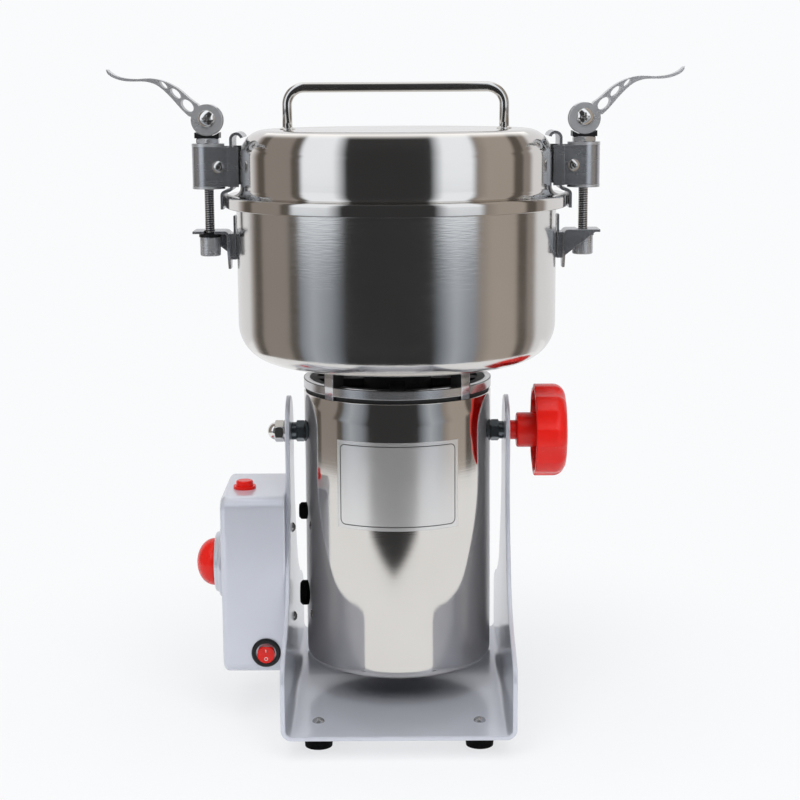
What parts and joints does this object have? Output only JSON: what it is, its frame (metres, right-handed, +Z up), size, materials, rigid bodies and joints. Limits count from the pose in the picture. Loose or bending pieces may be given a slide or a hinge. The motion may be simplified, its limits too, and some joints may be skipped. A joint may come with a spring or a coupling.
{
  "type": "spice grinder",
  "caption": "Tilting high-speed spice grinder: a motor head with a round steel bowl and a cam-clamped lid, hung between two uprights with a side control box.",
  "frame": {"origin": "on the floor under the bowl's axis", "axes": "+Z up, -Y towards the front with the name plate and the rocker switch, -X towards the control box"},
  "size_m": [0.374, 0.224, 0.43],
  "materials": {
    "polished_steel": "mirror polished stainless steel",
    "bright_steel": "bright stainless steel",
    "satin_steel": "satin pressed steel",
    "zinc_steel": "zinc plated steel",
    "silver_paint": "silver grey paint, satin",
    "cast_aluminium": "machined casting",
    "red_plastic": "glossy moulded",
    "black_plastic": "matt moulded",
    "black_rubber": "matt",
    "core_steel": "stacked laminations",
    "copper": "enamelled wire and copper bars",
    "carbon": "pressed carbon"
  },
  "bodies": {
    "stand": {"stand_bracket": "silver_paint", "rubber_feet": "black_rubber", "foot_screws": "zinc_steel", "control_box": "silver_paint", "box_screws": "zinc_steel", "breaker": "red_plastic", "switch_body": "black_plastic", "timer_body": "black_plastic", "timer_plate": "silver_paint"},
    "head": {"motor_housing": "polished_steel", "lead_bushes": "black_rubber", "bottom_cover": "cast_aluminium", "vent_collar": "cast_aluminium", "bearing_bracket": "cast_aluminium", "bearings": "zinc_steel", "stator_core": "core_steel", "field_coils": "copper", "carbon_brushes": "carbon", "brush_holders": "copper", "bowl": "polished_steel", "bowl_screws": "zinc_steel", "shaft_seal": "black_rubber", "bowl_brackets": "satin_steel", "pivot_nuts": "zinc_steel", "pivot_bushes": "black_plastic", "pivot_stud": "zinc_steel", "pivot_washer": "zinc_steel", "dome_nut": "zinc_steel"},
    "rotor": {"motor_shaft": "bright_steel", "armature_core": "core_steel", "commutator": "copper", "cooling_fan": "black_plastic", "blade_spacers": "bright_steel", "lower_blade": "bright_steel", "upper_blade": "bright_steel", "blade_nut": "bright_steel"},
    "lid": {"lid_shell": "polished_steel", "lid_gasket": "black_rubber", "lid_handle": "bright_steel", "lid_brackets": "satin_steel", "clamp_straps": "satin_steel", "clamp_sleeves": "satin_steel", "strap_pins": "zinc_steel", "lock_nuts": "zinc_steel", "cam_seats": "black_plastic"},
    "left_rod": {"left_draw_rod": "zinc_steel", "left_rod_nut": "satin_steel", "left_seat_washer": "black_plastic"},
    "right_rod": {"right_draw_rod": "zinc_steel", "right_rod_nut": "satin_steel", "right_seat_washer": "black_plastic"},
    "left_cam": {"left_lever": "satin_steel", "left_lever_screw": "zinc_steel"},
    "right_cam": {"right_lever": "satin_steel", "right_lever_screw": "zinc_steel"},
    "lock": {"lock_knob": "red_plastic", "lock_stud": "zinc_steel"},
    "timer": {"timer_knob": "red_plastic"},
    "rocker": {"rocker_paddle": "red_plastic"},
    "reset": {"reset_button": "red_plastic"}
  },
  "joints": [
    {"name": "head_tilt", "type": "hinge", "parent": "stand", "child": "head", "pos_m": [0, 0, 0.19], "axis": [1, 0, 0], "range_deg": [-80, 80]},
    {"name": "rotor_spin", "type": "hinge", "parent": "head", "child": "rotor", "pos_m": [0, 0, 0.25], "axis": [0, 0, 1], "continuous": true},
    {"name": "lid_turn", "type": "hinge", "parent": "head", "child": "lid", "pos_m": [0, 0, 0.37], "axis": [0, 0, 1], "range_deg": [0, 12]},
    {"name": "left_rod_draw", "type": "slide", "parent": "lid", "child": "left_rod", "axis": [0, 0, -1], "range_m": [0, 0.0008]},
    {"name": "right_rod_draw", "type": "slide", "parent": "lid", "child": "right_rod", "axis": [0, 0, -1], "range_m": [0, 0.0008]},
    {"name": "left_lever_swing", "type": "hinge", "parent": "left_rod", "child": "left_cam", "pos_m": [-0.123, 0, 0.39805], "axis": [0, 1, 0], "range_deg": [0, 90]},
    {"name": "right_lever_swing", "type": "hinge", "parent": "right_rod", "child": "right_cam", "pos_m": [0.123, 0, 0.39805], "axis": [0, -1, 0], "range_deg": [0, 90]},
    {"name": "lock_knob_turn", "type": "hinge", "parent": "head", "child": "lock", "pos_m": [0.1, 0, 0.19], "axis": [1, 0, 0], "range_deg": [0, 180]},
    {"name": "timer_turn", "type": "hinge", "parent": "stand", "child": "timer", "pos_m": [-0.12, 0, 0.0993], "axis": [-1, 0, 0], "range_deg": [-300, 0]},
    {"name": "rocker_tilt", "type": "hinge", "parent": "stand", "child": "rocker", "pos_m": [-0.0883, -0.0388, 0.0475], "axis": [-1, 0, 0], "range_deg": [0, 18]},
    {"name": "reset_press", "type": "slide", "parent": "stand", "child": "reset", "axis": [0, 0, -1], "range_m": [0, 0.0025], "stiffness_N_per_m": 400}
  ],
  "couplings": [
    {"joint": "left_rod_draw", "follows": "left_lever_swing", "m_per_rad": 0.0005093},
    {"joint": "right_rod_draw", "follows": "right_lever_swing", "m_per_rad": 0.0005093}
  ]
}
